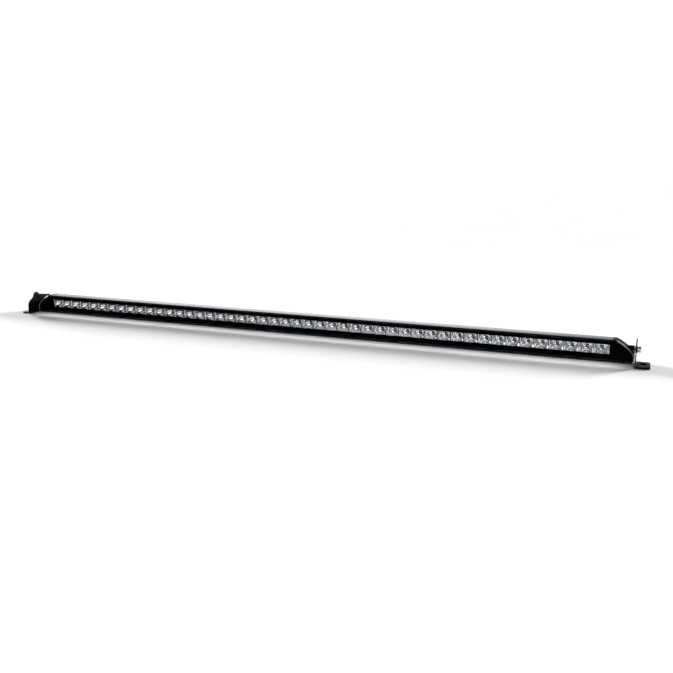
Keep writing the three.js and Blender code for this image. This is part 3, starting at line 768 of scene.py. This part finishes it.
def make_led_board(number, centre_x):
    """A black circuit board with a ceramic LED and its phosphor behind every cell."""
    builder = bmesh.new()
    front, rear = BOARD[0].y + 1, BOARD[1].y
    half = (BOARD[1].x - BOARD[0].x) / 2
    box_into(builder, (centre_x - half, front, BOARD[0].z), (centre_x + half, rear, BOARD[1].z), 0)
    z0 = BAR_Z + ROW_Z
    for i in range(CELLS_PER_MODULE):
        x = centre_x + (i + 0.5 - CELLS_PER_MODULE / 2) * CELL_PITCH
        # The LED's ceramic and phosphor are painted dark, as painted shade of the throat they sit in.
        chip_into(builder, (x, z0), (LED_HALF, LED_HALF), (front - 0.6, front + 0.05), 1)
        chip_into(builder, (x, z0), (CHIP_HALF, CHIP_HALF), (front - 0.85, front - 0.55), 2)
        for side in (-1, 1):
            place = (x + side * RESISTOR_PLACE[0], z0 + RESISTOR_PLACE[1])
            chip_into(builder, place, RESISTOR_HALF, (front - 0.4, front + 0.05), 1)
    board = to_object(f"led_circuit_{number}", builder, BOARD_MASK, LED_CERAMIC_PAINTED_SHADE, PHOSPHOR_PAINTED_SHADE)
    stands_for(smooth(board), "bar", "led_board", f"led_board_{number}")


def make_light_engine():
    length = CELL_PITCH * CELLS_PER_MODULE
    for i in range(MODULE_COUNT):
        centre_x = (i + 0.5 - MODULE_COUNT / 2) * length
        make_reflector_module(i + 1, centre_x)
        make_led_board(i + 1, centre_x)


# ------------------------------------------------------------ brackets and tilt hardware

BEND_RADIUS = 3.0  # outside of the bend between foot and upright
PLATE = 2.0
FOOT_CORNER = 5
SLOT_HALF_WIDTH = 4.25
SLOT_HALF_LENGTH = 7.5
PLATE_HOLE_RADIUS = 3.4
BOLT_HEAD_RADIUS = 5.7  # to the corners of the hexagon
WASHER_RADIUS = 6
LOCK_WASHER_RADIUS = 5


def bent_section():
    """The bracket across its bend, in X and Z: foot outwards, upright upwards."""
    inner_x = BRACKET[0].x
    foot_z = BRACKET[0].z
    end_x = BRACKET[1].x + 5
    top = BRACKET[1].z + 5
    outer = arc_points((inner_x + BEND_RADIUS, foot_z + BEND_RADIUS), BEND_RADIUS, 180, 270)
    inner_radius = BEND_RADIUS - PLATE
    bend = (inner_x + PLATE + inner_radius, foot_z + PLATE + inner_radius)
    inner = arc_points(bend, inner_radius, 270, 180, 5)
    foot = [(end_x, foot_z), (end_x, foot_z + PLATE)]
    return [(inner_x, top)] + outer + foot + inner + [(inner_x + PLATE, top)]


def upright_outline():
    """The bracket from the side, in Y and Z, with the ear at its top."""
    front, rear = BRACKET[0].y, BRACKET[1].y
    foot_front, foot_rear = PAD[0].y, PAD[1].y
    floor = BRACKET[0].z
    ear = (FACE_Y - 2.5, 38.5)
    neck = (FACE_Y - 10, 41.2)
    lobe_end = (FACE_Y - 18, 32.5)
    ledge = (FACE_Y + 10, 40.1)
    rear_top = (rear - 4.5, 36)
    heel = (foot_rear + 6, 6)
    points = [(foot_front, floor - 2), (foot_front, floor + 0.2)]
    points += bezier_points(points[-1], (front + 1, 2.4), (front, 4.6), (front, 8), 6)
    points.append((front, 15))
    points += bezier_points(points[-1], (front, 24), (front + 4, 29.5), lobe_end, 10)
    points += bezier_points(lobe_end, (FACE_Y - 14, 34.3), (FACE_Y - 12, 37), neck, 8)
    points += arc_points(ear, 8, 160, 20, 16)[1:]
    points += bezier_points(points[-1], (FACE_Y + 5.7, 40.7), (FACE_Y + 7.4, 40.4), ledge, 5)
    points.append(rear_top)
    points += bezier_points(rear_top, (rear - 1.5, 35.6), (rear, 34), (rear, 31.5), 6)
    points.append((rear, 24))
    points += bezier_points(points[-1], (rear - 0.7, 13.3), (rear - 7, 7.3), heel, 8)
    points += bezier_points(heel, (foot_rear + 2, 5.3), (foot_rear, 4), (foot_rear, 1.2), 5)
    points.append((foot_rear, floor - 2))
    return points


def foot_end():
    """The outer end of the foot from above, with its two round corners."""
    centre_x = PAD[1].x - FOOT_CORNER
    front = arc_points((centre_x, PAD[0].y + FOOT_CORNER), FOOT_CORNER, -90, 0, 8)
    return front + arc_points((centre_x, PAD[1].y - FOOT_CORNER), FOOT_CORNER, 0, 90, 8)


def bracket_from_above():
    """The strip that the upright stands in, with the foot beside it."""
    inner_x = BRACKET[0].x - 2
    strip_x = BRACKET[0].x + PLATE + 1
    front, rear = BRACKET[0].y - 2, BRACKET[1].y + 2
    points = [(inner_x, front), (strip_x, front), (strip_x, PAD[0].y)]
    return points + foot_end() + [(strip_x, PAD[1].y), (strip_x, rear), (inner_x, rear)]


def foot_slot(span):
    middle_x = (BRACKET[0].x + PLATE + PAD[1].x) / 2
    middle_y = (PAD[0].y + PAD[1].y) / 2
    outline = slot_points((middle_x, middle_y), SLOT_HALF_WIDTH, SLOT_HALF_LENGTH)
    return prism("cut", outline, "z", span)


def make_brackets():
    across = (BRACKET[0].y - 2, BRACKET[1].y + 2)
    bracket = prism("bent_bracket", bent_section(), "y", across, BRACKET_COAT)
    side_view = prism("keep", upright_outline(), "x", (BRACKET[0].x - 3, BRACKET[1].x + 8))
    top_view = prism("keep", bracket_from_above(), "z", (-5, 60))
    combine(bracket, "INTERSECT", [side_view, top_view])
    hole_span = (BRACKET[0].x - 2, BRACKET[0].x + 8)
    hole = circle_points((PIVOT.y, PIVOT.z), PLATE_HOLE_RADIUS)
    bolt_hole = prism("cut", hole, "x", hole_span)
    combine(bracket, "DIFFERENCE", [bolt_hole, foot_slot((-3, 9))])
    stands_for_pair(round_edges(bracket, 0.25), "bracket", MOUNTS, "bracket")


def make_foot_pads():
    pad_outline = [(PAD[0].x, PAD[0].y)] + foot_end() + [(PAD[0].x, PAD[1].y)]
    pad = prism("rubber_pad", pad_outline, "z", (PAD[0].z, PAD[1].z), RUBBER)
    combine(pad, "DIFFERENCE", [foot_slot((-3, 5))])
    stands_for_pair(round_edges(pad, 0.2), "foot_pad", MOUNTS, "rubber")


def make_pivot_bolt(centre):
    """A hexagon-head bolt, chamfered round both ends of its head."""
    seat, crown = LOCK_WASHER[1].x + 0.1, BOLT[1].x
    shank = [(BOLT[0].x, BOLT_RADIUS - 0.8), (BOLT[0].x + 0.6, BOLT_RADIUS), (seat + 1, BOLT_RADIUS)]
    bolt = turned("hexagon_bolt", shank, "x", centre, STAINLESS)
    head_outline = hexagon(centre, BOLT_HEAD_RADIUS, corner_up=True)
    head = prism("head", head_outline, "x", (seat, crown), STAINLESS)
    limits = [(seat, 5.3), (seat + 0.3, 5.8), (crown - 0.6, 5.8), (crown, 4.7)]
    combine(head, "INTERSECT", [turned("keep", limits, "x", centre, STAINLESS)])
    combine(bolt, "UNION", [head])
    stands_for_pair(smooth(bolt, 25), "pivot_bolt", BAR_BOTH, "fastener")


def make_tilt_hardware():
    """Everything on the pivot bolts: flat washer, split spring washer and spacer bush."""
    centre = (PIVOT.y, PIVOT.z)
    make_pivot_bolt(centre)
    span = (WASHER[0].x, WASHER[1].x)
    washer = ring("flat_washer", BOLT_HOLE_RADIUS, WASHER_RADIUS, span, "x", centre, STAINLESS)
    stands_for_pair(round_edges(washer, 0.15), "pivot_washer", BAR_BOTH, "fastener")
    span = (LOCK_WASHER[0].x, LOCK_WASHER[1].x)
    spring = ring("spring_washer", BOLT_HOLE_RADIUS, LOCK_WASHER_RADIUS, span, "x", centre, STAINLESS)
    y, z = centre
    split = [(y - 0.7, z + 2.5), (y, z + 2.5), (y + 0.6, z + 6), (y - 0.1, z + 6)]
    combine(spring, "DIFFERENCE", [prism("cut", split, "x", (span[0] - 1, span[1] + 1))])
    stands_for_pair(round_edges(spring, 0.15), "lock_washer", BAR_BOTH, "fastener")
    span = (BUSH[0].x, BUSH[1].x)
    bush = ring("spacer_bush", BOLT_HOLE_RADIUS, BOSS_RADIUS, span, "x", centre, NYLON)
    stands_for_pair(round_edges(bush, 0.3), "pivot_bush", BAR_BOTH, "nylon")


def make_end_cap_screws():
    """Pan-head screws with a hexagon socket, in the lugs behind each end cap."""
    for level in ("lower", "upper"):
        low, high = box_mm(f"end_cap_screw_{level}_right")
        centre = ((low.y + high.y) / 2, (low.z + high.z) / 2)
        seat = high.x - 2.4
        profile = [
            (low.x, 1),
            (low.x + 0.6, 1.7),
            (seat, 1.7),
            (seat, 3.05),
            (seat + 0.2, 3.2),
            (seat + 1.3, 3.1),
            (seat + 2.1, 2.5),
            (seat + 2.4, 1.8),
        ]
        screw = turned(f"cap_screw_{level}", profile, "x", centre, STAINLESS, segments=32)
        socket = prism("cut", hexagon(centre, 1.45), "x", (seat + 0.9, seat + 4))
        combine(screw, "DIFFERENCE", [socket])
        stands_for_pair(smooth(screw), f"end_cap_screw_{level}", BAR_BOTH, "fastener")


# ------------------------------------------------------------ gland and vent

GLAND_HEX_RADIUS = 6.95
VENT_HEX_RADIUS = 6.55
VENT_BORE_RADIUS = 1.5


def make_gland_body():
    centre = centre_xz(*GLAND)
    wall = FACE_Y + BODY_DEPTH
    profile = [
        (GLAND[0].y, FITTING_RADIUS - 0.2),
        (GLAND[0].y + 0.3, FITTING_RADIUS),
        (GLAND[1].y, FITTING_RADIUS),
    ]
    body = turned("gland_thread", profile, "y", centre, NYLON)
    collar = prism("collar", hexagon(centre, GLAND_HEX_RADIUS), "y", (wall + 0.1, wall + 3))
    combine(body, "UNION", [collar])
    bore = prism("cut", circle_points(centre, GLAND_BORE_RADIUS), "y", (wall - 8, wall + 8))
    combine(body, "DIFFERENCE", [bore])
    stands_for(round_edges(body, 0.2), "bar", "nylon", "gland_body")


def make_gland_nut():
    """The domed nut that squeezes the seal round the cable."""
    centre = centre_xz(*GLAND)
    start, end = GLAND_NUT[0].y, GLAND_NUT[1].y
    outline = hexagon(centre, GLAND_HEX_RADIUS)
    nut = prism("gland_dome_nut", outline, "y", (start, start + 4), NYLON)
    profile = [
        (start + 3.5, 6),
        (start + 4.6, 5.9),
        (start + 5.8, 5.4),
        (start + 6.8, 4.8),
        (end, 4.1),
    ]
    combine(nut, "UNION", [turned("dome", profile, "y", centre, NYLON)])
    bore = prism("cut", circle_points(centre, GLAND_BORE_RADIUS), "y", (start - 1, end + 1))
    mouth = prism("cut", circle_points(centre, FITTING_HOLE_RADIUS), "y", (start - 1, start + 1.7))
    combine(nut, "DIFFERENCE", [bore, mouth])
    stands_for(round_edges(nut, 0.25), "bar", "nylon", "gland_nut")


def make_vent():
    """The breather plug, open at its end above the membrane."""
    centre = centre_xz(*VENT)
    wall = FACE_Y + BODY_DEPTH
    end = VENT[1].y
    profile = [
        (VENT[0].y, FITTING_RADIUS - 0.2),
        (VENT[0].y + 0.3, FITTING_RADIUS),
        (wall + 2, FITTING_RADIUS),
        (wall + 2, 5.9),
        (end - 0.8, 5.9),
        (end - 0.2, 5.5),
        (end, 5),
    ]
    body = turned("vent_plug", profile, "y", centre, NYLON)
    collar = prism("collar", hexagon(centre, VENT_HEX_RADIUS), "y", (wall + 0.1, wall + 2.6))
    combine(body, "UNION", [collar])
    cuts = [
        prism("cut", circle_points(centre, VENT_BORE_RADIUS), "y", (wall - 6, end + 1)),
        prism("cut", circle_points(centre, 2 * VENT_BORE_RADIUS), "y", (end - 1.4, end + 1)),
    ]
    combine(body, "DIFFERENCE", cuts)
    stands_for(round_edges(body, 0.2), "bar", "nylon", "vent_body")


# ------------------------------------------------------------ CAD nodes that stay


def dress_carried_nodes():
    """Procedural materials for the CAD nodes whose own shape is kept."""
    finishes = {
        "lens_seal": RUBBER,
        "end_gasket": RUBBER,
        "gland_seal": RUBBER,
        "thermal_pad": GREY_PAD,
        "driver_pad": GREY_PAD,
        "driver_board": GREEN_BOARD,
        "board_screw": STAINLESS,
        "pivot_nut": STAINLESS,
        "inner_lead_red": RED_WIRE,
        "inner_lead_black": BLACK_WIRE,
        "vent_membrane": GREY_PAD,
    }
    for name, obj in frame["nodes"].items():
        for start, material in finishes.items():
            if name.startswith(start):
                obj.data.materials.clear()
                obj.data.materials.append(material)


# ------------------------------------------------------------ studio

CEILING_GREY = 0.3
ROOM_GREY = 0.25
WORLD_STRENGTH = 1.1
GLOW = 1.1
GLOW_DIRECTION = (-0.39, 0.90, 0.21)
SUN_ELEVATION = 14
SUN_SPREAD = 20
CAMERA_PLACE = (0.64035, -1.3462, 0.32988)
CAMERA_DOWN = 12.7205
CAMERA_LEFT = 22.002
CAMERA_LENS = 40.65


def make_floor():
    """A plain pale floor that reaches past the view on every side."""
    builder = bmesh.new()
    bmesh.ops.create_grid(builder, x_segments=1, y_segments=1, size=40000)
    material, tree, shader = new_material("studio_floor", Roughness=0.9, IOR=1.2)
    colour_range(tree, shader, noise(tree, 3), (0.88, 0.88, 0.88), (0.90, 0.90, 0.90))
    floor = to_object("studio_floor", builder, material)
    floor.location.z = -0.0002


def make_world():
    """A bright wall behind the bar with a glow low on it, a dimmer room and a grey ceiling."""
    world = bpy.data.worlds.new("studio")
    world.use_nodes = True
    bpy.context.scene.world = world
    tree = world.node_tree
    direction = tree.nodes.new("ShaderNodeTexCoord")
    split = tree.nodes.new("ShaderNodeSeparateXYZ")
    tree.links.new(direction.outputs["Generated"], split.inputs["Vector"])
    ceiling = two_tones(tree, split.outputs["Z"], (0.22, 1.0), (0.45, CEILING_GREY))
    room = two_tones(tree, split.outputs["Y"], (0.45, ROOM_GREY), (0.65, 1.0))
    nearness = tree.nodes.new("ShaderNodeVectorMath")
    nearness.operation = "DOT_PRODUCT"
    tree.links.new(direction.outputs["Generated"], nearness.inputs[0])
    nearness.inputs[1].default_value = GLOW_DIRECTION
    glow = two_tones(tree, nearness.outputs["Value"], (0.92, 0.0), (1.0, GLOW))
    walls = blended(tree, "MULTIPLY", ceiling, room)
    background = tree.nodes["Background"]
    tree.links.new(blended(tree, "ADD", walls, glow), background.inputs["Color"])
    background.inputs["Strength"].default_value = WORLD_STRENGTH


def blended(tree, mode, first, second):
    mix = tree.nodes.new("ShaderNodeMix")
    mix.data_type = "RGBA"
    mix.blend_type = mode
    mix.inputs["Factor"].default_value = 1.0
    tree.links.new(first, mix.inputs["A"])
    tree.links.new(second, mix.inputs["B"])
    return mix.outputs["Result"]


def two_tones(tree, value, low, high):
    """A grey ramp between two (position, brightness) stops."""
    ramp = tree.nodes.new("ShaderNodeValToRGB")
    ramp.color_ramp.interpolation = "EASE"
    for element, (position, grey) in zip(ramp.color_ramp.elements, (low, high)):
        element.position = position
        element.color = (grey, grey, grey, 1)
    tree.links.new(value, ramp.inputs["Fac"])
    return ramp.outputs["Color"]


def make_sun(name, azimuth, strength):
    """A broad low sun behind the bar; azimuth runs from straight behind to the right."""
    light = bpy.data.lights.new(name, "SUN")
    light.energy = strength
    light.angle = math.radians(SUN_SPREAD)
    obj = bpy.data.objects.new(name, light)
    bpy.context.scene.collection.objects.link(obj)
    turn, rise = math.radians(azimuth), math.radians(SUN_ELEVATION)
    place = Vector((math.sin(turn), math.cos(turn), math.tan(rise)))
    obj.rotation_euler = (-place).to_track_quat("-Z", "Y").to_euler()


def softbox(name, place, target, size, power):
    light = bpy.data.lights.new(name, "AREA")
    light.shape = "RECTANGLE"
    light.size, light.size_y = size
    light.energy = power
    obj = bpy.data.objects.new(name, light)
    bpy.context.scene.collection.objects.link(obj)
    obj.location = place
    aim = Vector(target) - Vector(place)
    obj.rotation_euler = aim.to_track_quat("-Z", "Y").to_euler()


def make_lights():
    """Two low suns from behind, weak fills from the right and the front, and a strip of
    light on the floor just before the bar."""
    make_sun("key_left", azimuth=-60, strength=5.6)
    make_sun("key_right", azimuth=42, strength=5.8)
    softbox("right_fill", place=(2.2, -0.35, 1.1), target=(0.6, 0, 0), size=(0.8, 0.8), power=2.4)
    softbox("front_fill", place=(0.9, -1.3, 0.9), target=(0, 0, 0), size=(1.5, 0.6), power=5)
    softbox("floor_strip", place=(0, -0.03, 0.02), target=(0, -0.03, 0), size=(1.24, 0.008), power=0.1)


def make_camera():
    """Level and from the right, looking down along the bar from about a metre and a half."""
    camera = bpy.data.cameras.new("camera")
    camera.sensor_width = 36
    camera.lens = CAMERA_LENS
    camera.clip_end = 200
    obj = bpy.data.objects.new("camera", camera)
    bpy.context.scene.collection.objects.link(obj)
    obj.location = CAMERA_PLACE
    obj.rotation_euler = (math.radians(90 - CAMERA_DOWN), 0, math.radians(CAMERA_LEFT))
    bpy.context.scene.camera = obj


make_camera()
make_floor()
make_world()
make_lights()
make_housing()
make_end_caps()
make_lens()
make_bezel()
make_light_engine()
make_brackets()
make_foot_pads()
make_tilt_hardware()
make_end_cap_screws()
make_gland_body()
make_gland_nut()
make_vent()
dress_carried_nodes()

bpy.context.scene.view_settings.view_transform = "Standard"
